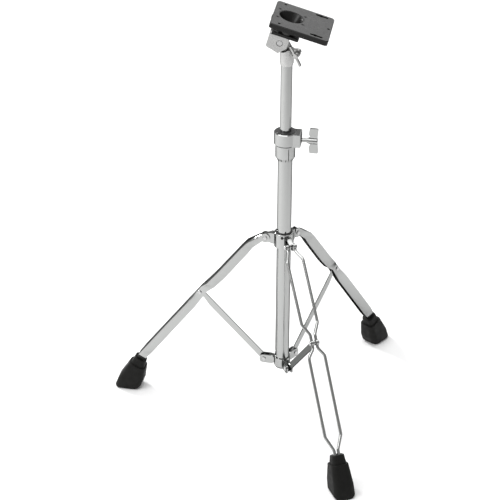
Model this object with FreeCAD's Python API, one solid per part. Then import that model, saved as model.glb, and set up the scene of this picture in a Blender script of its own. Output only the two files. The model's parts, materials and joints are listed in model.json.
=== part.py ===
"""Folding tripod stand for a practice pad: braced legs, telescopic column and a tilting pad plate.

Millimetres, +Z up.  Everything is drawn about the column's axis with the floor at z = 0, and moved at the
end so that the origin is at the middle of the whole stand's bounding box, on the floor.
"""
import FreeCAD, Part

import os
from math import asin, cos, degrees, radians, sin, tan

V = FreeCAD.Vector
X, Y, Z = V(1, 0, 0), V(0, 1, 0), V(0, 0, 1)

# ---- driving dimensions -------------------------------------------------------------------------------
# tripod linkage: leg and strut have the same pivot spacing, and both hubs the same pivot radius, so the
# upper hub travels straight along the column as the legs fold
LEG_AZIMUTHS = {"left": 177.0, "right": 58.3, "front": 298.4}
PIVOT_RADIUS = 37.0
LINK_LENGTH = 196.0
OPEN_ANGLE = 43.5
LOWER_PIVOT_Z = 107.2
FLEX = 0.3              # side play between moving neighbours
FIT = 0.06              # radial play of a pin in a moving part

# legs, in their own axes: along the leg, across it, and outwards from it
UPPER_PIVOT_DROP = -19.6    # pivots lie below and above the leg's long axis
MIDDLE_PIVOT_RISE = 2.8
LEG_WIDTH = 27.0            # across the web
LEG_MOUTH = 11.6            # across the open side, where the flanges lean together
LEG_SHEET = 1.6
LEG_FOLD = 2.8              # rounding of the folds between web and flanges
NECK_WIDTH = 13.0
LOBE_RADIUS = 9.7
LOBE_PROUD = 0.05
LEG_LENGTH = 406.0
ROD_RADIUS = 3.1
ROD_SPREAD = 16.5

STRUT_WIDTH = 13.0
STRUT_THICKNESS = 3.0
RIVET_RADIUS = 2.5
EAR_THICKNESS = 2.5
UPPER_ARM_WIDTH = 9.0
LOWER_EAR_GAP = 8.0

# column
TUBE_RADIUS = 14.3
TUBE_WALL = 1.5
TUBE_BOTTOM = 94.0
TUBE_TOP = 593.0
COLLAR_BOTTOM, COLLAR_STEP, COLLAR_TOP = 568.0, 603.0, 628.0
PIPE_RADIUS = 11.1
PIPE_WALL = 1.5
PIPE_BOTTOM = 391.0
PIPE_TOP = 789.0
CLAMP_SCREW_Z = 611.0

# tilter and plate, in the plate's own tilted axes
TILT_AXIS_X, TILT_AXIS_Z = -12.0, 815.0
PLATE_TILT = 16.0
PLATE_LENGTH, PLATE_WIDTH, PLATE_THICKNESS = 113.0, 114.5, 9.8
PLATE_RISE = 41.0           # underside of the plate above the tilt axis
PLATE_OFFSET = 28.0         # plate's middle from the tilt axis, down the slope
CUP_OFFSET = -22.0          # cup's centre from the plate's middle
CUP_RADIUS = 25.0
FLANGE_RISE = 13.0          # underside of the flange above the tilt axis

# rubber boots, as positions in the leg's plane
MOUTH_RADIUS, MOUTH_Z = 301.0, 71.0
SOLE_RADIUS = 331.0


# ---- geometry helpers ---------------------------------------------------------------------------------
def cylinder(radius, length, base, direction=Z):
    return Part.makeCylinder(radius, length, base, direction)


def tube(outer, inner, length, base, direction=Z):
    return cylinder(outer, length, base, direction).cut(cylinder(inner, length, base, direction))


def centred_cylinder(radius, length, middle, direction):
    return cylinder(radius, length, middle - direction * (length / 2), direction)


def box(x_range, y_range, z_range):
    (x0, x1), (y0, y1), (z0, z1) = x_range, y_range, z_range
    return Part.makeBox(x1 - x0, y1 - y0, z1 - z0, V(x0, y0, z0))


def unite(first, *others):
    return first.multiFuse(list(others)).removeSplitter()


def group(shapes):
    return Part.makeCompound(shapes)


def turned(shape, azimuth):
    """A copy of a shape drawn at azimuth 0, turned about the column."""
    copy = shape.copy()
    copy.rotate(V(0, 0, 0), Z, azimuth)
    return copy


def mirrored(shape):
    """The shape on the other side of the leg's plane."""
    return shape.mirror(V(0, 0, 0), Y)


def bent_path(points, radius, closed=False):
    """Edges of straight runs joined by tangent arcs."""
    count = len(points)
    runs = []
    for i, corner in enumerate(points):
        if not closed and i in (0, count - 1):
            runs.append((corner, None, corner))
            continue
        back = (points[i - 1] - corner).normalize()
        ahead = (points[(i + 1) % count] - corner).normalize()
        half = back.getAngle(ahead) / 2
        if abs(half - radians(90)) < 1e-4:
            runs.append((corner, None, corner))
            continue
        centre = corner + (back + ahead).normalize() * (radius / sin(half))
        reach = radius / tan(half)
        middle = centre + (corner - centre).normalize() * radius
        runs.append((corner + back * reach, middle, corner + ahead * reach))
    edges = []
    for i, (start, middle, end) in enumerate(runs):
        if middle is not None:
            edges.append(Part.Arc(start, middle, end).toShape())
        if i + 1 < count or closed:
            following = runs[(i + 1) % count][0]
            if (following - end).Length > 1e-6:
                edges.append(Part.makeLine(end, following))
    return edges


def outline(points, radius):
    """A closed wire with rounded corners."""
    return Part.Wire(bent_path(points, radius, closed=True))


def slab(points, radius, thickness_vector):
    return Part.Face(outline(points, radius)).extrude(thickness_vector)


def rod(points, radius, bend):
    """A round rod along straight runs and tangent arcs."""
    path = Part.Wire(bent_path(points, bend))
    section = Part.Wire(Part.Circle(points[0], points[1] - points[0], radius).toShape())
    return path.makePipeShell([section], True, True)


def rounded_rectangle(centre, along, across, length, width, radius):
    corners = [
        centre + along * (sx * length / 2) + across * (sy * width / 2)
        for sx, sy in ((1, 1), (-1, 1), (-1, -1), (1, -1))
    ]
    return outline(corners, radius)


def wing_head(hub_radius, hub_length, span, width, thickness):
    """A wing screw's head: hub along +X from the origin, wings up and down."""
    hub = cylinder(hub_radius, hub_length, V(0, 0, 0), X)
    hub = hub.makeFillet(1.0, [hub.Edges[0]])
    root = hub_radius * 0.6
    wings = []
    for side in (1, -1):
        points = [
            V(hub_length * 0.25, -thickness / 2, side * root),
            V(hub_length - width, -thickness / 2, side * span * 0.55),
            V(hub_length - width * 0.9, -thickness / 2, side * span),
            V(hub_length + width * 0.1, -thickness / 2, side * span),
            V(hub_length, -thickness / 2, side * root),
        ]
        wings.append(slab(points, width * 0.16, V(0, thickness, 0)))
    return unite(hub, *wings)


def screw_head(radius, height, base, direction):
    """A low domed head with a small edge."""
    head = cylinder(radius, height, base, direction)
    rim = [e for e in head.Edges if len(e.Vertexes) == 1 and (e.CenterOfMass - base).Length > height / 2]
    return head.makeFillet(height * 0.7, rim)


def rivet(middle, half_length, direction, head_radius=4.5, head_height=2.0):
    """A rivet with a domed head at each end, along a direction."""
    shank = centred_cylinder(RIVET_RADIUS, 2 * half_length, middle, direction)
    heads = [
        screw_head(head_radius, head_height, middle + direction * (side * half_length), direction * side)
        for side in (1, -1)
    ]
    return unite(shank, *heads)


# ---- linkage positions in the leg's plane (x outwards, z up) -----------------------------------------
RISE = LINK_LENGTH * cos(radians(OPEN_ANGLE))
REACH = LINK_LENGTH * sin(radians(OPEN_ANGLE))
LOWER_PIVOT = V(PIVOT_RADIUS, 0, LOWER_PIVOT_Z)
MIDDLE_PIVOT = V(PIVOT_RADIUS + REACH, 0, LOWER_PIVOT_Z + RISE)
UPPER_PIVOT = V(PIVOT_RADIUS, 0, LOWER_PIVOT_Z + 2 * RISE)

PIVOT_STEP = MIDDLE_PIVOT_RISE - UPPER_PIVOT_DROP
LEG_ANGLE = OPEN_ANGLE - degrees(asin(PIVOT_STEP / LINK_LENGTH))
MIDDLE_PIVOT_ALONG = LINK_LENGTH * cos(asin(PIVOT_STEP / LINK_LENGTH))
LEG_ALONG = V(sin(radians(LEG_ANGLE)), 0, -cos(radians(LEG_ANGLE)))
LEG_OUTWARDS = V(cos(radians(LEG_ANGLE)), 0, sin(radians(LEG_ANGLE)))
LEG_START = UPPER_PIVOT - LEG_OUTWARDS * UPPER_PIVOT_DROP


def on_leg(along, across, outwards):
    """A point in the leg's own axes, as a point in the leg's plane."""
    return LEG_START + LEG_ALONG * along + Y * across + LEG_OUTWARDS * outwards


def onto_leg(shape):
    """Moves a shape drawn with x along the leg, y across it and z outwards into the leg's plane."""
    shape.rotate(V(0, 0, 0), Y, 90 - LEG_ANGLE)
    shape.translate(LEG_START)
    return shape


# ---- legs ---------------------------------------------------------------------------------------------
JOINT_NECK = (182.0, 208.0)     # where the leg is narrow for the strut's joint


def leg_stations():
    """Sections of the sheet leg: along, (half web, half mouth), (height of web, height of open edge)."""
    neck = (NECK_WIDTH / 2, NECK_WIDTH / 2)
    wide = (LEG_WIDTH / 2, LEG_MOUTH / 2)
    return [
        (0.0, neck, (-9.0, -20.0)),
        (9.5, neck, (-4.6, -20.0)),
        (34.0, wide, (2.2, -14.6)),
        (52.0, wide, (3.4, -15.5)),
        (132.0, wide, (4.4, -15.3)),
        (164.0, wide, (6.0, -12.8)),
        (JOINT_NECK[0], neck, (9.0, -7.5)),
        (JOINT_NECK[1], neck, (9.0, -9.0)),
        (230.0, wide, (8.3, -10.6)),
        (300.0, wide, (9.0, -10.6)),
        (384.0, wide, (9.3, -10.2)),
        (LEG_LENGTH, (10.0, LEG_MOUTH / 2), (9.0, -8.8)),
    ]


def leg_section(along, halves, heights, inset):
    """A closed section of the folded sheet: its outside, or with an inset the space inside it."""
    web, mouth = (half - inset for half in halves)
    top, edge = heights[0] - inset, heights[1] - inset
    lean = (web - mouth) / (top - edge)
    fold = LEG_FOLD - inset
    side = [(mouth, edge), (web - lean * fold, top - fold), (web - 0.3 * fold, top - 0.3 * fold),
            (web - fold, top)]
    points = [V(along, y, z) for y, z in side] + [V(along, -y, z) for y, z in reversed(side)]
    return Part.makePolygon(points + points[:1])


def leg_loft(inset):
    sections = [leg_section(*station, inset) for station in leg_stations()]
    return Part.makeLoft(sections, True, True)


def leg_lobe(side):
    """The round ear on one flange, a touch thicker than the sheet, outside the upper hub's arm."""
    inner = side * (NECK_WIDTH / 2 - LEG_SHEET - LOBE_PROUD)
    thickness = LEG_SHEET + 2 * LOBE_PROUD
    disc = cylinder(LOBE_RADIUS, thickness, V(0, inner, UPPER_PIVOT_DROP), Y * side)
    corners = [V(0, inner, UPPER_PIVOT_DROP - LOBE_RADIUS), V(9.4, inner, -20.0), V(9.4, inner, -7.0),
               V(0, inner, UPPER_PIVOT_DROP + LOBE_RADIUS)]
    return unite(disc, Part.Face(Part.makePolygon(corners + corners[:1])).extrude(V(0, side * thickness, 0)))


def sheet_leg():
    """A channel of folded sheet, open towards the column, necked at its pivots, with ears at its top."""
    shell = leg_loft(0).cut(leg_loft(LEG_SHEET))
    shell = shell.fuse(leg_lobe(1)).fuse(leg_lobe(-1))
    upper = centred_cylinder(RIVET_RADIUS + FIT, LEG_WIDTH, V(0, 0, UPPER_PIVOT_DROP), Y)
    middle = centred_cylinder(RIVET_RADIUS, LEG_WIDTH, V(MIDDLE_PIVOT_ALONG, 0, MIDDLE_PIVOT_RISE), Y)
    return onto_leg(shell.cut(upper).cut(middle))


PLUG_START, PLUG_LENGTH = 376.0, 60.0


def leg_end_plug():
    """A plastic insert that closes the sheet leg's foot and carries the boot."""
    section = [V(PLUG_START, y, z) for y, z in ((4.0, -7.0), (7.2, 7.2), (-7.2, 7.2), (-4.0, -7.0))]
    return onto_leg(Part.Face(Part.makePolygon(section + section[:1])).extrude(X * PLUG_LENGTH))


EYE_RADIUS = 6.0
EYE_THICKNESS = 5.0
TOP_EYE_ACROSS = UPPER_ARM_WIDTH / 2 + FLEX + ROD_RADIUS
JOINT_EYE_ACROSS = 4.9
FOOT_ACROSS = 4.2


def front_rod():
    """One bent rod of the front leg, with an eye at its top and one at the strut joint."""
    route = [
        (0, TOP_EYE_ACROSS, UPPER_PIVOT_DROP),
        (10, TOP_EYE_ACROSS, UPPER_PIVOT_DROP + 1),
        (28, ROD_SPREAD, -9.0),
        (156, ROD_SPREAD, -1.0),
        (178, JOINT_EYE_ACROSS, MIDDLE_PIVOT_RISE),
        (206, JOINT_EYE_ACROSS, MIDDLE_PIVOT_RISE),
        (222, ROD_SPREAD, 1.0),
        (378, ROD_SPREAD, -1.0),
        (406, FOOT_ACROSS, -1.0),
        (440, FOOT_ACROSS, -1.5),
    ]
    shape = rod([on_leg(*point) for point in route], ROD_RADIUS, 12.0)
    eyes = [
        (UPPER_PIVOT, TOP_EYE_ACROSS, RIVET_RADIUS + FIT),
        (MIDDLE_PIVOT, JOINT_EYE_ACROSS, RIVET_RADIUS),
    ]
    for pivot, across, _ in eyes:
        shape = shape.fuse(centred_cylinder(EYE_RADIUS, EYE_THICKNESS, pivot + Y * across, Y))
    for pivot, across, hole in eyes:
        shape = shape.cut(centred_cylinder(hole, 4 * EYE_THICKNESS, pivot + Y * across, Y))
    return shape


# ---- boots --------------------------------------------------------------------------------------------
MOUTH = V(MOUTH_RADIUS, 0, MOUTH_Z)
SOLE = V(SOLE_RADIUS, 0, 0)
# share of the way from mouth to sole, tilt of the section, length, width, corner radius
BOOT_COLLAR = [(0.0, 28.0, 25.5, 25.0, 8.0), (0.24, 22.0, 30.0, 30.0, 8.5)]
BOOT_BODY = [(0.22, 20.0, 36.0, 35.0, 9.0), (0.68, 7.0, 53.0, 42.0, 12.0), (0.93, 0.0, 54.0, 44.0, 13.0),
             (1.0, 0.0, 48.0, 38.0, 11.0)]


def boot_section(share, tilt, length, width, corner):
    centre = MOUTH + (SOLE - MOUTH) * share
    along = V(cos(radians(tilt)), 0, sin(radians(tilt)))
    return rounded_rectangle(centre, along, Y, length, width, corner)


def boot():
    """A rubber boot: a narrow collar above a wider body that flares to a flat sole."""
    steps = (BOOT_COLLAR, BOOT_BODY)
    stages = [Part.makeLoft([boot_section(*s) for s in step], True, True) for step in steps]
    return stages[0].fuse(stages[1])


# ---- struts -------------------------------------------------------------------------------------------
def strut():
    """A flat bar from the lower hub to the leg, its outer edge cut back where it folds into the leg."""
    end = 3.5
    wide = STRUT_WIDTH / 2
    outline_points = [
        (-wide, wide), (LINK_LENGTH - 8, wide), (LINK_LENGTH + end, end),
        (LINK_LENGTH + end, -end), (LINK_LENGTH - 16, -end), (LINK_LENGTH - 36, -wide), (-wide, -wide),
    ]
    bar = slab([V(a, -STRUT_THICKNESS / 2, w) for a, w in outline_points], 3.0, V(0, STRUT_THICKNESS, 0))
    for along in (0, LINK_LENGTH):
        bar = bar.cut(centred_cylinder(RIVET_RADIUS + FIT, 20, V(along, 0, 0), Y))
    bar.rotate(V(0, 0, 0), Y, OPEN_ANGLE - 90)
    bar.translate(LOWER_PIVOT)
    return bar


def spacers(pivot, gap, radius):
    """Two washers that fill the play beside a strut's end."""
    width = (gap - STRUT_THICKNESS) / 2 - FLEX
    inner = STRUT_THICKNESS / 2 + FLEX
    ring = tube(radius, RIVET_RADIUS, width, pivot + Y * inner, Y)
    return group([ring, mirrored(ring)])


# ---- hubs ---------------------------------------------------------------------------------------------
def hub_ears(pivot, gap, inner_radius, lobe, lower, upper):
    """A pair of ears around a pivot, joined to the hub's ring."""
    ears = []
    for side in (1, -1):
        y = side * gap / 2
        profile = slab(
            [V(inner_radius, y, lower), V(pivot.x + lobe, y, pivot.z - lobe),
             V(pivot.x + lobe, y, pivot.z + lobe), V(inner_radius, y, upper)],
            lobe * 0.75, V(0, side * EAR_THICKNESS, 0),
        )
        ears.append(profile.cut(centred_cylinder(RIVET_RADIUS, 60, pivot, Y)))
    return ears


def upper_hub():
    """The sliding hub: a ring round a nylon bush, with three hooded arms that fit inside the legs' tops."""
    pivot = UPPER_PIVOT
    low, high = pivot.z - HUB_BELOW, pivot.z + HUB_ABOVE
    inner = UPPER_RING_RADIUS - 2.5
    half = UPPER_ARM_WIDTH / 2
    tip = pivot.x + 4
    arms = []
    for azimuth in LEG_AZIMUTHS.values():
        ears = hub_ears(pivot, UPPER_ARM_WIDTH - 2 * EAR_THICKNESS, inner, 7.0, low + 3, high - 2)
        hood = slab(
            [V(inner, -half, high - 5), V(tip, -half, pivot.z + 5.2), V(tip, -half, pivot.z + 7.7),
             V(inner, -half, high - 2)],
            0.5, V(0, UPPER_ARM_WIDTH, 0),
        )
        root = box((inner - 3, 26), (-6.5, 6.5), (low + 4, high - 4))
        root = root.cut(cylinder(2.0, 10, V(22.5, 0, high - 10)))
        arms += [turned(part, azimuth) for part in ears + [hood, root]]
    ring = cylinder(UPPER_RING_RADIUS, high - low, V(0, 0, low))
    rim = [e for e in ring.Edges if e.BoundBox.ZMin > high - 0.01]
    ring = ring.makeFillet(1.6, rim)
    bush = cylinder(BUSH_RADIUS, high - low, V(0, 0, low))
    lock = cylinder(1.6, 30, V(0, 0, HUB_SCREW_Z), HUB_SCREW_WAY)
    return unite(ring, *arms).cut(bush).cut(lock)


HUB_BELOW, HUB_ABOVE = 14.5, 16.5
BUSH_RADIUS = 17.0
UPPER_RING_RADIUS = 19.5
HUB_SCREW_Z = UPPER_PIVOT.z + 11
HUB_SCREW_WAY = V(cos(radians(-93)), sin(radians(-93)), 0)


def hub_bush():
    """The nylon liner that slides on the tube."""
    low, high = UPPER_PIVOT.z - HUB_BELOW, UPPER_PIVOT.z + HUB_ABOVE + 1
    sleeve = tube(BUSH_RADIUS, TUBE_RADIUS + 0.1, high - low, V(0, 0, low))
    pilot = cylinder(1.6, 30, V(0, 0, HUB_SCREW_Z), HUB_SCREW_WAY)
    return sleeve.cut(pilot)


def hub_screw():
    """The small screw that keeps the liner in the hub."""
    seat = UPPER_RING_RADIUS
    tip = TUBE_RADIUS + 1.0
    shank = cylinder(1.6, seat - tip, V(0, 0, HUB_SCREW_Z) + HUB_SCREW_WAY * tip, HUB_SCREW_WAY)
    head = screw_head(3.0, 1.6, V(0, 0, HUB_SCREW_Z) + HUB_SCREW_WAY * seat, HUB_SCREW_WAY)
    return unite(shank, head)


def lower_hub():
    """The fixed hub at the tube's foot, with three plain pairs of ears."""
    pivot = LOWER_PIVOT
    low, high = pivot.z - 9.5, pivot.z + 8.5
    arms = []
    for azimuth in LEG_AZIMUTHS.values():
        ears = hub_ears(pivot, LOWER_EAR_GAP, TUBE_RADIUS + 1, 9.0, low, high)
        arms += [turned(part, azimuth) for part in ears]
    ring = cylinder(TUBE_RADIUS + 2.6, high - low, V(0, 0, low))
    bore = cylinder(TUBE_RADIUS, high - low, V(0, 0, low))
    return unite(ring, *arms).cut(bore)


def tube_end_plug():
    """A plastic plug in the tube's open foot."""
    stem = cylinder(TUBE_RADIUS - TUBE_WALL, 14, V(0, 0, TUBE_BOTTOM))
    cap = cylinder(TUBE_RADIUS, 2.5, V(0, 0, TUBE_BOTTOM - 2.5))
    return unite(stem, cap.makeFillet(1.2, [cap.Edges[2]]))


# ---- height clamp -------------------------------------------------------------------------------------
SLIT_AZIMUTH = -63.0
CLAMP_BUSH_RADIUS = 15.0
BUSH_FLANGE_RADIUS = 18.8
BOSS_REACH = 31.0


def height_collar():
    """The cast clamp on the tube: a wide head with a screw boss above a slit skirt."""
    skirt_radius, head_radius, edge = 19.5, 22.5, 1.5
    profile = [
        V(TUBE_RADIUS, 0, COLLAR_BOTTOM), V(TUBE_RADIUS + 1.2, 0, COLLAR_BOTTOM),
        V(skirt_radius, 0, COLLAR_BOTTOM + 7), V(skirt_radius, 0, COLLAR_STEP - 3),
        V(head_radius, 0, COLLAR_STEP), V(head_radius, 0, COLLAR_TOP - edge),
        V(head_radius - edge, 0, COLLAR_TOP), V(TUBE_RADIUS, 0, COLLAR_TOP),
    ]
    body = Part.Face(Part.makePolygon(profile + profile[:1])).revolve(V(0, 0, 0), Z, 360)
    boss = box((8, BOSS_REACH), (-15.5, 15.5), (COLLAR_TOP - 27, COLLAR_TOP - 1))
    boss = boss.makeFillet(2.0, [e for e in boss.Edges if e.BoundBox.XMin > BOSS_REACH - 0.1])
    body = unite(body, boss)
    body = body.cut(cylinder(TUBE_RADIUS, TUBE_TOP - COLLAR_BOTTOM, V(0, 0, COLLAR_BOTTOM)))
    body = body.cut(cylinder(CLAMP_BUSH_RADIUS, COLLAR_TOP - TUBE_TOP, V(0, 0, TUBE_TOP)))
    body = body.cut(cylinder(BUSH_FLANGE_RADIUS, 3.0, V(0, 0, COLLAR_TOP - 3.0)))
    body = body.cut(cylinder(4.05, 40, V(0, 0, CLAMP_SCREW_Z), X))
    slit = box((TUBE_RADIUS - 1, 24), (-0.6, 0.6), (COLLAR_BOTTOM - 1, COLLAR_STEP - 6))
    return body.cut(turned(slit, SLIT_AZIMUTH))


def collar_bush():
    """The nylon guide in the clamp, with a flange that shows around the pipe."""
    sleeve = cylinder(CLAMP_BUSH_RADIUS, COLLAR_TOP - TUBE_TOP, V(0, 0, TUBE_TOP))
    flange = cylinder(BUSH_FLANGE_RADIUS, 3.6, V(0, 0, COLLAR_TOP - 3.0))
    bore = cylinder(PIPE_RADIUS + 0.08, 60, V(0, 0, TUBE_TOP - 5))
    window = cylinder(5.0, 30, V(0, 0, CLAMP_SCREW_Z), X)
    return unite(sleeve, flange).cut(bore).cut(window)


def clamp_shoe():
    """The nylon pad between the clamp screw and the pipe."""
    face = PIPE_RADIUS + 0.1
    pad = cylinder(5.0, CLAMP_BUSH_RADIUS - face, V(face, 0, CLAMP_SCREW_Z), X)
    return pad.common(tube(CLAMP_BUSH_RADIUS, face, 20, V(0, 0, CLAMP_SCREW_Z - 10)))


def height_wing_bolt():
    """The wing bolt that closes the height clamp."""
    tip = CLAMP_BUSH_RADIUS + 0.2
    shank = cylinder(4.0, 46 - tip, V(tip, 0, CLAMP_SCREW_Z), X)
    neck = cylinder(5.6, 5.0, V(42, 0, CLAMP_SCREW_Z), X)
    head = wing_head(6.6, 17.0, 26.0, 17.0, 4.4)
    head.translate(V(45, 0, CLAMP_SCREW_Z))
    return unite(shank, neck, head)


def pipe_guide():
    """The nylon cup on the pipe's foot, which slides in the tube and lets the pipe turn."""
    outer = TUBE_RADIUS - TUBE_WALL - 0.08
    cup = cylinder(outer, 28, V(0, 0, PIPE_BOTTOM - 4))
    return cup.cut(cylinder(PIPE_RADIUS + 0.06, 40, V(0, 0, PIPE_BOTTOM - 0.2)))


# ---- tilter -------------------------------------------------------------------------------------------
TILT_AXIS = V(TILT_AXIS_X, 0, TILT_AXIS_Z)
HEAD_SWING = 21.0           # reach of the head's lower corner towards the sleeve
HEAD_FACES = (-17.0, -0.8)
HEAD_LEFT, HEAD_RIGHT = -23.5, 15.5
DISC_FACES = (3.2, 14.0)
DISC_RADIUS = 12.2
TILT_BOLT_RADIUS = 4.0
TILT_HEAD_RADIUS, TILT_HEAD_HEIGHT = 6.0, 2.5
TEETH = 24


def onto_tilter(shape):
    """Moves a shape drawn flat about the origin into the plate's tilted axes."""
    shape.rotate(V(0, 0, 0), Y, PLATE_TILT)
    shape.translate(TILT_AXIS)
    return shape


SLEEVE_RADIUS = 13.3
SLEEVE_BOTTOM, SLEEVE_TOP = 766.0, 799.0
LUG_AZIMUTH = -6.0
LUG_BOLT_RADIUS = 20.5
LUG_BOLT_Z = 792.0
LUG_HALF = 4.5
LUG_WING_AWAY = 12.4        # the wings turn clear of the sleeve
LUG_SLIT = 2.0


def tilter_post():
    """The casting on the pipe: a split sleeve with two lugs, and the rear disc of the tilt joint."""
    sleeve = cylinder(SLEEVE_RADIUS, SLEEVE_TOP - SLEEVE_BOTTOM - 5, V(0, 0, SLEEVE_BOTTOM + 5))
    skirt = Part.makeCone(11.9, SLEEVE_RADIUS, 5, V(0, 0, SLEEVE_BOTTOM))
    lugs = slab(
        [V(6, -LUG_HALF, LUG_BOLT_Z - 9), V(26, -LUG_HALF, LUG_BOLT_Z - 7), V(26, -LUG_HALF, LUG_BOLT_Z + 7),
         V(6, -LUG_HALF, LUG_BOLT_Z + 7)],
        5.0, V(0, 2 * LUG_HALF, 0),
    )
    disc = cylinder(DISC_RADIUS, DISC_FACES[1] - DISC_FACES[0], TILT_AXIS + Y * DISC_FACES[0], Y)
    web = slab(
        [V(-11, 3.4, SLEEVE_TOP - 14), V(9, 3.4, SLEEVE_TOP - 14), V(8, 3.4, SLEEVE_TOP),
         V(-3, 3.4, TILT_AXIS_Z + 4), V(TILT_AXIS_X - 10, 3.4, TILT_AXIS_Z - 2), V(-16, 3.4, SLEEVE_TOP - 2)],
        2.0, V(0, 8.6, 0),
    )
    body = unite(sleeve, skirt, turned(lugs, LUG_AZIMUTH), disc, web)
    body = body.cut(cylinder(PIPE_RADIUS, PIPE_TOP - SLEEVE_BOTTOM, V(0, 0, SLEEVE_BOTTOM)))
    slit = box((PIPE_RADIUS - 2, 30), (-LUG_SLIT / 2, LUG_SLIT / 2), (SLEEVE_BOTTOM - 1, SLEEVE_TOP - 5))
    bolt_hole = centred_cylinder(3.05, 40, V(LUG_BOLT_RADIUS, 0, LUG_BOLT_Z), Y)
    body = body.cut(turned(slit, LUG_AZIMUTH)).cut(turned(bolt_hole, LUG_AZIMUTH))
    saddle = cylinder(HEAD_SWING + 0.4, 30, TILT_AXIS + Y * (DISC_FACES[0] + 0.2 - 30), Y)
    hole = cylinder(TILT_BOLT_RADIUS + FIT, 40, TILT_AXIS - Y * 5, Y)
    return body.cut(saddle).cut(hole)


def ratchet_ring(face, way):
    """A toothed ring of the tilt joint, its teeth pointing one way along Y."""
    plate = tube(DISC_RADIUS, TILT_BOLT_RADIUS + FIT, 1.0, V(0, face, 0), V(0, -way, 0))
    teeth = []
    for i in range(TEETH):
        tooth = slab(
            [V(6.5, face - 0.2 * way, -0.45), V(DISC_RADIUS - 0.6, face - 0.2 * way, -0.8),
             V(DISC_RADIUS - 0.6, face - 0.2 * way, 0.8), V(6.5, face - 0.2 * way, 0.45)],
            0.15, V(0, 0.9 * way, 0),
        )
        tooth.rotate(V(0, 0, 0), Y, i * 360 / TEETH)
        teeth.append(tooth)
    ring = plate.multiFuse(teeth)
    ring.translate(TILT_AXIS)
    return ring


def tilt_head():
    """The squared casting under the flange, with a lip at the flange's upper end."""
    near, far = HEAD_FACES
    lip = FLANGE_RISE + FLANGE_THICKNESS
    block = slab(
        [V(HEAD_LEFT, near, -13.5), V(2, near, -20.3), V(HEAD_RIGHT, near, -6.5),
         V(HEAD_RIGHT, near, FLANGE_RISE), V(HEAD_LEFT, near, FLANGE_RISE)],
        3.0, V(0, far - near, 0),
    )
    cap = box((HEAD_LEFT, HEAD_RIGHT), (near + 1, far), (FLANGE_RISE - 4, FLANGE_RISE))
    ledge = box((HEAD_LEFT, CUP_X - FLANGE_LENGTH / 2 - 0.2), (near + 1, far), (FLANGE_RISE - 4, lip))
    shape = unite(block, cap, ledge)
    recess = cylinder(TILT_HEAD_RADIUS + 0.2, TILT_HEAD_HEIGHT, V(0, near, 0), Y)
    shape = shape.cut(cylinder(TILT_BOLT_RADIUS, 40, V(0, -30, 0), Y)).cut(recess).cut(flange_screw_hole())
    return onto_tilter(shape)


def tilt_bolt():
    """The bolt through the tilt joint, its round head sunk in the near face."""
    seat = TILT_AXIS + Y * (HEAD_FACES[0] + TILT_HEAD_HEIGHT)
    shank = cylinder(TILT_BOLT_RADIUS, 52 - TILT_HEAD_HEIGHT, seat, Y)
    head = screw_head(TILT_HEAD_RADIUS, TILT_HEAD_HEIGHT - 0.3, seat, Y * -1)
    return unite(shank, head)


def tilt_wing_nut():
    """The wing nut behind the tilt joint."""
    nut = wing_head(7.0, 13.0, 20.0, 10.0, 4.0)
    nut = nut.cut(cylinder(TILT_BOLT_RADIUS + FIT, 40, V(-5, 0, 0), X))
    nut.rotate(V(0, 0, 0), Z, 90)
    nut.rotate(V(0, 0, 0), Y, 70)
    nut.translate(TILT_AXIS + Y * (DISC_FACES[1] + 2.6))
    return nut


def tilt_washer():
    return tube(8.0, TILT_BOLT_RADIUS + FIT, 1.6, TILT_AXIS + Y * (DISC_FACES[1] + 0.2), Y)


def lug_bolt():
    """The wing bolt that closes the split sleeve, drawn across the lugs, its wings on the near side."""
    shank = cylinder(3.0, LUG_WING_AWAY + LUG_HALF + 6, V(LUG_BOLT_RADIUS, -LUG_WING_AWAY - 1, LUG_BOLT_Z), Y)
    collar = cylinder(4.4, LUG_WING_AWAY - LUG_HALF, V(LUG_BOLT_RADIUS, -LUG_HALF - 0.3, LUG_BOLT_Z), Y * -1)
    head = wing_head(5.0, 8.0, 21.0, 7.0, 3.2)
    head.rotate(V(0, 0, 0), Z, -90)
    head.rotate(V(0, 0, 0), Y, 152)
    head.translate(V(LUG_BOLT_RADIUS, -LUG_WING_AWAY, LUG_BOLT_Z))
    return turned(unite(shank, collar, head), LUG_AZIMUTH)


def lug_nut():
    """The hexagon nut on the split sleeve's bolt."""
    corner, height = 6.0, 4.6
    points = [V(corner * cos(radians(60 * i)), 0, corner * sin(radians(60 * i))) for i in range(6)]
    nut = Part.Face(Part.makePolygon(points + points[:1])).extrude(V(0, height, 0))
    nut = nut.cut(cylinder(3.06, 10, V(0, -2, 0), Y))
    nut.translate(V(LUG_BOLT_RADIUS, LUG_HALF + 0.3, LUG_BOLT_Z))
    return turned(nut, LUG_AZIMUTH)


# ---- plate --------------------------------------------------------------------------------------------
FLANGE_LENGTH, FLANGE_WIDTH, FLANGE_THICKNESS = 52.0, 34.0, 6.0
CUP_FLOOR = FLANGE_RISE + FLANGE_THICKNESS + 4
FLANGE_SCREW_RADIUS, FLANGE_SCREW_LENGTH, FLANGE_SCREW_Y = 3.0, 16.0, -6.0
CUP_ACROSS_SCREWS = 31.0
CUP_X = PLATE_OFFSET + CUP_OFFSET
HOLE_SPOTS = [(-39.5, 47.0), (-39.5, -47.0)]
SLOT_SPOTS = [(32.0, 47.5), (32.0, -47.5)]
SLOT_LENGTH, SLOT_RADIUS, SLOT_EYE_RADIUS = 25.0, 3.0, 4.6
PLATE_HOLE_RADIUS = 2.75
EDGE_HOLE = (50.0, 0.0)
CUP_SCREW_ANGLES = (38, 142, 218, 322)


def cup_screw_spots():
    return [
        (CUP_X + CUP_ACROSS_SCREWS * cos(radians(a)), CUP_ACROSS_SCREWS * sin(radians(a)))
        for a in CUP_SCREW_ANGLES
    ]


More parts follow.
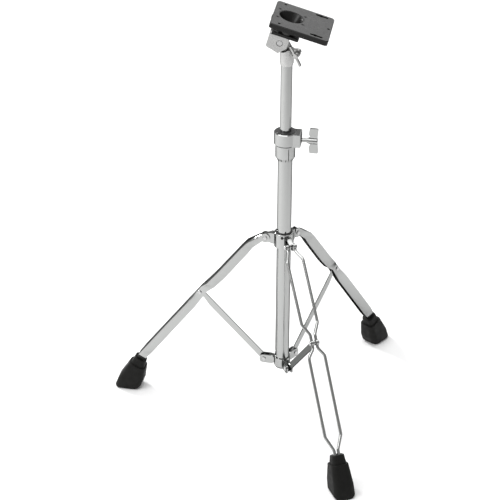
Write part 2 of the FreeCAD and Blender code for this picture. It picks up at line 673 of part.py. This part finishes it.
def slot_cutter(x, y):
    reach = SLOT_LENGTH / 2 - SLOT_RADIUS
    ends = [cylinder(SLOT_RADIUS, 40, V(x + side * reach, y, PLATE_RISE - 10)) for side in (1, -1)]
    across = (y - SLOT_RADIUS, y + SLOT_RADIUS)
    bridge = box((x - reach, x + reach), across, (PLATE_RISE - 10, PLATE_RISE + 30))
    eye = cylinder(SLOT_EYE_RADIUS, 40, V(x - 2, y, PLATE_RISE - 10))
    return unite(bridge, eye, *ends)


def pad_plate():
    """The square plate that carries the pad: a round cup hole, two round holes and two slots."""
    x0 = PLATE_OFFSET - PLATE_LENGTH / 2
    x1 = PLATE_OFFSET + PLATE_LENGTH / 2
    half = PLATE_WIDTH / 2
    corners = [V(x, y, PLATE_RISE) for x, y in ((x0, -half), (x1, -half), (x1, half), (x0, half))]
    plate = slab(corners, 7.0, V(0, 0, PLATE_THICKNESS))
    crest = [e for e in plate.Edges if e.BoundBox.ZMin > PLATE_RISE + PLATE_THICKNESS - 0.01]
    plate = plate.makeChamfer(1.4, crest)
    plate = plate.cut(cylinder(CUP_RADIUS, 40, V(CUP_X, 0, PLATE_RISE - 10)))
    for x, y in HOLE_SPOTS + [EDGE_HOLE]:
        plate = plate.cut(cylinder(PLATE_HOLE_RADIUS, 40, V(PLATE_OFFSET + x, y, PLATE_RISE - 10)))
    for x, y in SLOT_SPOTS:
        plate = plate.cut(slot_cutter(PLATE_OFFSET + x, y))
    for x, y in cup_screw_spots():
        plate = plate.cut(cylinder(2.0, 40, V(x, y, PLATE_RISE - 10)))
        plate = plate.cut(cylinder(3.4, 10, V(x, y, PLATE_RISE + PLATE_THICKNESS - 2)))
    return onto_tilter(plate)


def plate_cup():
    """The conical socket hung under the plate, with a rim that the screws pull up."""
    rim = 36.0
    top = PLATE_RISE + PLATE_THICKNESS - 0.6
    floor = FLANGE_RISE + FLANGE_THICKNESS
    profile = [
        V(0, 0, floor), V(16.5, 0, floor), V(24.0, 0, PLATE_RISE - 3.5), V(rim, 0, PLATE_RISE - 3.5),
        V(rim, 0, PLATE_RISE), V(CUP_RADIUS, 0, PLATE_RISE), V(CUP_RADIUS, 0, top),
        V(CUP_RADIUS - 1.6, 0, top),
        V(11.5, 0, CUP_FLOOR), V(0, 0, CUP_FLOOR),
    ]
    cup = Part.Face(Part.makePolygon(profile + profile[:1])).revolve(V(0, 0, 0), Z, 360)
    cup.translate(V(CUP_X, 0, 0))
    for x, y in cup_screw_spots():
        cup = cup.cut(cylinder(2.0, 40, V(x, y, PLATE_RISE - 10)))
    return onto_tilter(cup.cut(flange_screw_hole()))


def cup_screws():
    screws = []
    for x, y in cup_screw_spots():
        shank = cylinder(2.0, PLATE_THICKNESS + 4.5, V(x, y, PLATE_RISE - 6.5))
        head = cylinder(3.4, 1.6, V(x, y, PLATE_RISE + PLATE_THICKNESS - 2))
        socket = cylinder(1.3, 3, V(x, y, PLATE_RISE + PLATE_THICKNESS - 1.2))
        screws.append(unite(shank, head).cut(socket))
    return onto_tilter(group(screws))


def flange_screw_hole():
    """The space of the screw that holds cup, flange and head together."""
    foot = V(CUP_X, FLANGE_SCREW_Y, CUP_FLOOR - FLANGE_SCREW_LENGTH)
    return cylinder(FLANGE_SCREW_RADIUS, FLANGE_SCREW_LENGTH, foot)


def tilt_flange():
    """The flat bracket between the cup and the tilt head."""
    half_x, half_y = FLANGE_LENGTH / 2, FLANGE_WIDTH / 2
    corners = [
        V(CUP_X + sx * half_x, sy * half_y, FLANGE_RISE) for sx, sy in ((-1, -1), (1, -1), (1, 1), (-1, 1))
    ]
    flange = slab(corners, 4.0, V(0, 0, FLANGE_THICKNESS))
    crest = [e for e in flange.Edges if e.BoundBox.ZMin > FLANGE_RISE + FLANGE_THICKNESS - 0.01]
    return onto_tilter(flange.makeChamfer(0.8, crest).cut(flange_screw_hole()))


def flange_screw():
    """The screw from the cup's floor through the flange into the tilt head."""
    head = cylinder(4.6, 3.4, V(0, 0, CUP_FLOOR)).cut(cylinder(2.3, 3, V(0, 0, CUP_FLOOR + 1.6)))
    shank = cylinder(FLANGE_SCREW_RADIUS, FLANGE_SCREW_LENGTH, V(0, 0, CUP_FLOOR - FLANGE_SCREW_LENGTH))
    screw = unite(shank, head)
    screw.translate(V(CUP_X, FLANGE_SCREW_Y, 0))
    return onto_tilter(screw)


# ---- assembly -----------------------------------------------------------------------------------------
def build():
    """Every node's shape, about the column's axis."""
    nodes = {}
    tube_length = TUBE_TOP - TUBE_BOTTOM
    nodes["lower_tube"] = tube(TUBE_RADIUS, TUBE_RADIUS - TUBE_WALL, tube_length, V(0, 0, TUBE_BOTTOM))
    nodes["tube_end_plug"] = tube_end_plug()
    nodes["lower_hub"] = lower_hub()
    nodes["height_collar"] = height_collar()
    nodes["collar_bush"] = collar_bush()
    nodes["clamp_shoe"] = clamp_shoe()
    nodes["height_wing_bolt"] = height_wing_bolt()
    nodes["upper_hub"] = upper_hub()
    nodes["hub_bush"] = hub_bush()
    nodes["hub_screw"] = hub_screw()

    lower_half = LOWER_EAR_GAP / 2 + EAR_THICKNESS
    rod_shape = front_rod()
    boot_shape = boot()
    shapes = {
        "strut": strut(),
        "joint_spacers": spacers(MIDDLE_PIVOT, NECK_WIDTH - 2 * LEG_SHEET - 0.9, 3.4),
        "hub_spacers": spacers(LOWER_PIVOT, LOWER_EAR_GAP, 4.6),
        "lower_rivet": rivet(LOWER_PIVOT, lower_half, Y),
    }
    for side, azimuth in LEG_AZIMUTHS.items():
        for name, shape in shapes.items():
            if side == "front" and name == "joint_spacers":
                continue
            nodes[f"{side}_{name}"] = turned(shape, azimuth)
        if side == "front":
            rods = {"left": mirrored(rod_shape), "right": rod_shape}
            for rod_side, shape in rods.items():
                nodes[f"front_leg_{rod_side}_rod"] = turned(shape, azimuth)
            upper_half = TOP_EYE_ACROSS + ROD_RADIUS + FIT
            joint_half = JOINT_EYE_ACROSS + ROD_RADIUS
            socket = boot_shape.cut(rods["left"]).cut(rods["right"])
        else:
            nodes[f"{side}_leg"] = turned(sheet_leg(), azimuth)
            nodes[f"{side}_leg_end_plug"] = turned(leg_end_plug(), azimuth)
            upper_half = NECK_WIDTH / 2 + LOBE_PROUD + FIT
            joint_half = NECK_WIDTH / 2
            socket = boot_shape.cut(sheet_leg()).cut(leg_end_plug())
        nodes[f"{side}_upper_rivet"] = turned(rivet(UPPER_PIVOT, upper_half, Y), azimuth)
        nodes[f"{side}_joint_rivet"] = turned(rivet(MIDDLE_PIVOT, joint_half, Y), azimuth)
        nodes[f"{side}_boot"] = turned(socket, azimuth)

    pipe_length = PIPE_TOP - PIPE_BOTTOM
    nodes["upper_pipe"] = tube(PIPE_RADIUS, PIPE_RADIUS - PIPE_WALL, pipe_length, V(0, 0, PIPE_BOTTOM))
    nodes["pipe_guide"] = pipe_guide()
    nodes["tilter_post"] = tilter_post()
    nodes["post_ratchet"] = ratchet_ring(DISC_FACES[0] - 1.0, -1)
    nodes["head_ratchet"] = ratchet_ring(HEAD_FACES[1] + 1.0, 1)
    nodes["lug_bolt"] = lug_bolt()
    nodes["lug_nut"] = lug_nut()
    nodes["tilt_head"] = tilt_head()
    nodes["tilt_bolt"] = tilt_bolt()
    nodes["tilt_washer"] = tilt_washer()
    nodes["tilt_wing_nut"] = tilt_wing_nut()
    nodes["tilt_flange"] = tilt_flange()
    nodes["flange_screw"] = flange_screw()
    nodes["plate_cup"] = plate_cup()
    nodes["cup_screws"] = cup_screws()
    nodes["pad_plate"] = pad_plate()
    return nodes


def base_centre(nodes):
    """The middle of the whole stand's footprint, on the floor."""
    bounds = FreeCAD.BoundBox()
    for shape in nodes.values():
        bounds.add(shape.optimalBoundingBox(False, False))
    return V((bounds.XMin + bounds.XMax) / 2, (bounds.YMin + bounds.YMax) / 2, 0)


NODES = build()
ORIGIN = base_centre(NODES)
os.makedirs("parts", exist_ok=True)
for node, solid in NODES.items():
    solid.translate(ORIGIN * -1)
    solid.exportStep(f"parts/{node}.step")
print(len(NODES), "nodes, column axis at", round(-ORIGIN.x, 3), round(-ORIGIN.y, 3))
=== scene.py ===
"""Studio picture of the folding tripod stand: finishes, softened edges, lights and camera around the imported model."""
import json
from math import cos, pi, radians, sin

import bmesh
import bpy
from mathutils import Matrix, Vector


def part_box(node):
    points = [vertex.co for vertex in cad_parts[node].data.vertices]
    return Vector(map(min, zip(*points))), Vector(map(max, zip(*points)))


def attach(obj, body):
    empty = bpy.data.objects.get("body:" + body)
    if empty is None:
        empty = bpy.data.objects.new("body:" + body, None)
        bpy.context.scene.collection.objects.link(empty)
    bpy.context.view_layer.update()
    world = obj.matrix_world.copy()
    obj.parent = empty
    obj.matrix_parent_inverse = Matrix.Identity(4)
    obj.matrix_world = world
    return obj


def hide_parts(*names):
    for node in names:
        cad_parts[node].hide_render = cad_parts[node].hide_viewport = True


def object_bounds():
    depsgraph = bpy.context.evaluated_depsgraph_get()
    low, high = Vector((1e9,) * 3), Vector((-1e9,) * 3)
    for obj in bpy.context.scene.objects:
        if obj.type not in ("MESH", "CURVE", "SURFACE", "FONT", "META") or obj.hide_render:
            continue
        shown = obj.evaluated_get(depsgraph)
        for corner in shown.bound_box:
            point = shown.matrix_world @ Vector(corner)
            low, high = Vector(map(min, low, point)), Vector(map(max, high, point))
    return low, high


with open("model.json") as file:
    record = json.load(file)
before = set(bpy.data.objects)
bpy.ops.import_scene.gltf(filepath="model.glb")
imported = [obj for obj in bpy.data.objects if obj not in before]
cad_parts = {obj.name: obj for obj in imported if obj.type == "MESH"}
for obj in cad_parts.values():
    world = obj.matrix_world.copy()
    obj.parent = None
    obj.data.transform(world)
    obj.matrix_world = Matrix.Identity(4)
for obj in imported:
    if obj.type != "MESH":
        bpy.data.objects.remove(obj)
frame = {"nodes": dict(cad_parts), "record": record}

CAD_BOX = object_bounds()
NODES = frame["nodes"]
SLOT_OF = {part["node"]: part["material_slot"] for part in frame["record"]["subparts"]}
BODY_OF = {node: body for body, nodes in frame["record"]["behaviour"]["bodies"].items() for node in nodes}
SIDES = ("left", "right", "front")
MM = 0.001
UP = Vector((0, 0, 1))


def middle(node):
    low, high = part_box(node)
    return (low + high) / 2


AXIS = middle("lower_tube") * Vector((1, 1, 0))


# ---- camera -------------------------------------------------------------------------------------------
CAMERA_FROM_AXIS = Vector((0.377, -3.013, 2.079))
CAMERA_HEADING, CAMERA_PITCH, CAMERA_ROLL = radians(98.4), radians(-29.45), radians(0.3)
LENS, SENSOR = 125.9, 36.0


def add_camera():
    ahead = Vector((cos(CAMERA_HEADING) * cos(CAMERA_PITCH), sin(CAMERA_HEADING) * cos(CAMERA_PITCH),
                    sin(CAMERA_PITCH)))
    level = ahead.cross(UP).normalized()
    upwards = level.cross(ahead)
    right = level * cos(CAMERA_ROLL) + upwards * sin(CAMERA_ROLL)
    upwards = right.cross(ahead)
    data = bpy.data.cameras.new("camera")
    data.lens, data.sensor_width = LENS, SENSOR
    camera = bpy.data.objects.new("camera", data)
    bpy.context.scene.collection.objects.link(camera)
    place = Matrix((right, upwards, -ahead)).transposed().to_4x4()
    place.translation = AXIS + CAMERA_FROM_AXIS
    camera.matrix_world = place
    bpy.context.scene.camera = camera


# ---- studio -------------------------------------------------------------------------------------------
WORLD_STRENGTH = 0.42
LIGHTS = {    # name: place, aim (m from the column's foot), size (m), power (W)
    "overhead": ((-0.7, -0.3, 3.0), (-0.6, -0.1, 0), (3.2, 4.6), 100),
    "key": ((-2.2, -1.6, 2.2), (0, 0, 0.5), (0.9, 1.6), 22),
    "back": ((-2.1, 1.55, 2.0), (0, 0, 0.4), (0.5, 0.5), 60),
    "sheen": ((0.75, 3.2, 2.65), (0, 0, 0.85), (2.0, 1.7), 17),
}
FLOOR_SIZE = 9
FLOOR_GAP = 0.0003              # the floor lies this far below the soles
PAPER_COLOR, PAPER_ROUGHNESS = (0.9, 0.9, 0.9, 1), 0.9


def area_light(name, place, aim, size, power):
    """An area light; place and aim are measured from the column's foot, sizes in metres, power in watts."""
    data = bpy.data.lights.new(name, "AREA")
    data.shape, data.size, data.size_y = "RECTANGLE", size[0], size[1]
    data.energy = power
    lamp = bpy.data.objects.new(name, data)
    bpy.context.scene.collection.objects.link(lamp)
    lamp.location = AXIS + Vector(place)
    direction = AXIS + Vector(aim) - lamp.location
    lamp.rotation_euler = direction.to_track_quat("-Z", "Y").to_euler()


def add_studio():
    world = bpy.data.worlds.new("studio")
    bpy.context.scene.world = world
    world.use_nodes = True
    background = world.node_tree.nodes["Background"]
    background.inputs["Color"].default_value = (1, 1, 1, 1)
    background.inputs["Strength"].default_value = WORLD_STRENGTH
    for name, (place, aim, size, power) in LIGHTS.items():
        area_light(name, place, aim, size, power)
    bpy.context.scene.view_settings.view_transform = "Standard"

    sheet = bpy.data.meshes.new("floor")
    build = bmesh.new()
    bmesh.ops.create_grid(build, x_segments=1, y_segments=1, size=FLOOR_SIZE)
    build.to_mesh(sheet)
    build.free()
    floor = bpy.data.objects.new("floor", sheet)
    bpy.context.scene.collection.objects.link(floor)
    floor.location.z = CAD_BOX[0][2] - FLOOR_GAP
    paper = bpy.data.materials.new("paper")
    paper.use_nodes = True
    shader = paper.node_tree.nodes["Principled BSDF"]
    shader.inputs["Base Color"].default_value = PAPER_COLOR
    shader.inputs["Roughness"].default_value = PAPER_ROUGHNESS
    sheet.materials.append(paper)


# ---- materials ----------------------------------------------------------------------------------------
PATCH_DETAIL = 3.0              # noise detail where the roughness or the colour varies
GRAIN_DETAIL = 2                # noise detail of a bump
NOISE_START, NOISE_END = 0.3, 0.7   # noise values that give the lowest and the highest roughness

# One recipe for each material slot. The values are assumed, or were set by trial against the photo and by
# grey levels read from it. None is a measured property of a material.
# shader: the shader's own values. rough: noise scale, lowest and highest roughness.
# tint: noise scale, dark and light colour. grain: bump pattern, its scale, height in metres, strength.
RECIPES = {
    "chrome": {
        "shader": {"color": (0.41, 0.415, 0.41), "metallic": 1.0, "roughness": 0.1,
                   "Specular_Tint": (0.04, 0.04, 0.04, 1)},
        "rough": (60, 0.07, 0.15),
        "grain": ("noise", 9, 0.00012, 0.25),
    },
    "cast_metal": {
        "shader": {"color": (0.47, 0.47, 0.465), "metallic": 1.0, "roughness": 0.3,
                   "Specular_Tint": (0.3, 0.3, 0.3, 1)},
        "rough": (140, 0.24, 0.36),
        "grain": ("noise", 700, 0.00004, 0.5),
    },
    "black_metal": {
        "shader": {"color": (0.006, 0.006, 0.006), "roughness": 0.3, "Specular_IOR_Level": 0.3},
        "rough": (220, 0.26, 0.34),
        "tint": (30, (0.004, 0.004, 0.0038), (0.008, 0.008, 0.0075)),
        "grain": ("cells", 1400, 0.00004, 0.35),
    },
    "nylon": {
        "shader": {"color": (0.018, 0.018, 0.018), "roughness": 0.48},
        "rough": (160, 0.42, 0.56),
        "grain": ("noise", 900, 0.00003, 0.4),
    },
    "dark_steel": {
        "shader": {"color": (0.03, 0.03, 0.03), "metallic": 0.9, "roughness": 0.36},
        "rough": (300, 0.3, 0.45),
        "grain": ("noise", 800, 0.00003, 0.4),
    },
    "zinc": {
        "shader": {"color": (0.5, 0.5, 0.5), "metallic": 1.0, "roughness": 0.25},
        "rough": (260, 0.18, 0.34),
        "grain": ("noise", 600, 0.00003, 0.4),
    },
    "rubber": {
        "shader": {"color": (0.005, 0.005, 0.0045), "roughness": 0.62, "Specular_IOR_Level": 0.2},
        "rough": (90, 0.52, 0.72),
        "tint": (14, (0.003, 0.003, 0.0026), (0.007, 0.007, 0.006)),
        "grain": ("cells", 900, 0.00008, 0.4),
    },
}


class Finish:
    """A small helper that wires procedural nodes into one material's shader."""

    def __init__(self, name, color, metallic=0.0, roughness=0.5, **inputs):
        self.material = bpy.data.materials.new(name)
        self.material.use_nodes = True
        self.nodes = self.material.node_tree.nodes
        self.links = self.material.node_tree.links
        self.shader = self.nodes["Principled BSDF"]
        self.shader.inputs["Base Color"].default_value = (*color, 1)
        self.shader.inputs["Metallic"].default_value = metallic
        self.shader.inputs["Roughness"].default_value = roughness
        for socket, value in inputs.items():
            self.shader.inputs[socket.replace("_", " ")].default_value = value
        self.place = self.nodes.new("ShaderNodeTexCoord").outputs["Object"]

    def noise(self, scale, detail):
        texture = self.nodes.new("ShaderNodeTexNoise")
        texture.inputs["Scale"].default_value = scale
        texture.inputs["Detail"].default_value = detail
        self.links.new(self.place, texture.inputs["Vector"])
        return texture.outputs["Fac"]

    def cells(self, scale):
        texture = self.nodes.new("ShaderNodeTexVoronoi")
        texture.inputs["Scale"].default_value = scale
        self.links.new(self.place, texture.inputs["Vector"])
        return texture.outputs["Distance"]

    def vary_roughness(self, scale, low, high):
        value = self.noise(scale, PATCH_DETAIL)
        ramp = self.nodes.new("ShaderNodeMapRange")
        ramp.inputs["From Min"].default_value = NOISE_START
        ramp.inputs["From Max"].default_value = NOISE_END
        ramp.inputs["To Min"].default_value = low
        ramp.inputs["To Max"].default_value = high
        self.links.new(value, ramp.inputs["Value"])
        self.links.new(ramp.outputs["Result"], self.shader.inputs["Roughness"])

    def vary_color(self, scale, dark, light):
        value = self.noise(scale, PATCH_DETAIL)
        ramp = self.nodes.new("ShaderNodeValToRGB")
        ramp.color_ramp.elements[0].color = (*dark, 1)
        ramp.color_ramp.elements[1].color = (*light, 1)
        self.links.new(value, ramp.inputs["Fac"])
        self.links.new(ramp.outputs["Color"], self.shader.inputs["Base Color"])

    def add_grain(self, pattern, scale, height, strength):
        value = self.cells(scale) if pattern == "cells" else self.noise(scale, GRAIN_DETAIL)
        node = self.nodes.new("ShaderNodeBump")
        node.inputs["Distance"].default_value = height
        node.inputs["Strength"].default_value = strength
        self.links.new(value, node.inputs["Height"])
        self.links.new(node.outputs["Normal"], self.shader.inputs["Normal"])


def make_finishes():
    made = {}
    for slot, recipe in RECIPES.items():
        finish = Finish(slot, **recipe["shader"])
        finish.vary_roughness(*recipe["rough"])
        if "tint" in recipe:
            finish.vary_color(*recipe["tint"])
        finish.add_grain(*recipe["grain"])
        made[slot] = finish.material
    return made


# ---- pieces -------------------------------------------------------------------------------------------
SMOOTH_ANGLE = radians(32)      # edges sharper than this stay crisp in the shading
BEVEL_ANGLE = radians(28)       # edges sharper than this are bevelled
BEVEL_SEGMENTS = 2
WELD_DISTANCE = 1e-6
FLAT_ANGLE = radians(0.6)       # facets closer than this to one plane are joined


def add_piece(name, build, node, *more_nodes):
    """Turns a bmesh into a piece that stands for CAD nodes and moves with their body."""
    mesh = bpy.data.meshes.new(name)
    bmesh.ops.recalc_face_normals(build, faces=build.faces)
    build.to_mesh(mesh)
    build.free()
    piece = bpy.data.objects.new(name, mesh)
    bpy.context.scene.collection.objects.link(piece)
    mesh.materials.append(FINISHES[SLOT_OF[node]])
    shade(piece, SMOOTH_ANGLE)
    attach(piece, BODY_OF[node])
    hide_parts(node, *more_nodes)
    return piece


def shade(piece, sharp):
    """Smooth shading, with edges sharper than the angle kept crisp."""
    build = bmesh.new()
    build.from_mesh(piece.data)
    for face in build.faces:
        face.smooth = True
    for edge in build.edges:
        edge.smooth = len(edge.link_faces) == 2 and edge.calc_face_angle(pi) < sharp
    build.to_mesh(piece.data)
    build.free()


def softened(node, width):
    """Puts a copy of a CAD node in its place, with its sharp edges broken by a small round bevel."""
    build = bmesh.new()
    build.from_mesh(NODES[node].data)
    bmesh.ops.remove_doubles(build, verts=build.verts, dist=WELD_DISTANCE)
    bmesh.ops.dissolve_limit(build, angle_limit=FLAT_ANGLE, verts=build.verts, edges=build.edges)
    name = node + "_piece"
    piece = add_piece(name, build, node)
    bevel = piece.modifiers.new("edges", "BEVEL")
    bevel.width, bevel.segments = width, BEVEL_SEGMENTS
    bevel.limit_method, bevel.angle_limit = "ANGLE", BEVEL_ANGLE
    bevel.use_clamp_overlap = True
    bevel.harden_normals = True
    bevel.miter_outer = "MITER_ARC"


FINISHES = make_finishes()
add_camera()
add_studio()

for node, cad in NODES.items():
    cad.data.materials.clear()
    cad.data.materials.append(FINISHES[SLOT_OF[node]])
    shade(cad, SMOOTH_ANGLE)

# Each piece's bevel width in mm. The fine parts not named here keep the CAD's own edges.
EDGES = {
    "pad_plate": 0.7, "tilt_flange": 0.6, "plate_cup": 0.4, "tilt_head": 1.0, "tilter_post": 0.7,
    "height_collar": 0.6, "height_wing_bolt": 0.7, "lug_bolt": 0.4, "lug_nut": 0.3, "tilt_wing_nut": 0.7,
    "upper_hub": 0.5, "lower_hub": 0.4, "collar_bush": 0.3,
    **{f"{side}_strut": 0.4 for side in SIDES},
    **{f"{side}_boot": 1.4 for side in SIDES},
    "left_leg": 0.3, "right_leg": 0.3,
}
for node, width in EDGES.items():
    softened(node, width * MM)
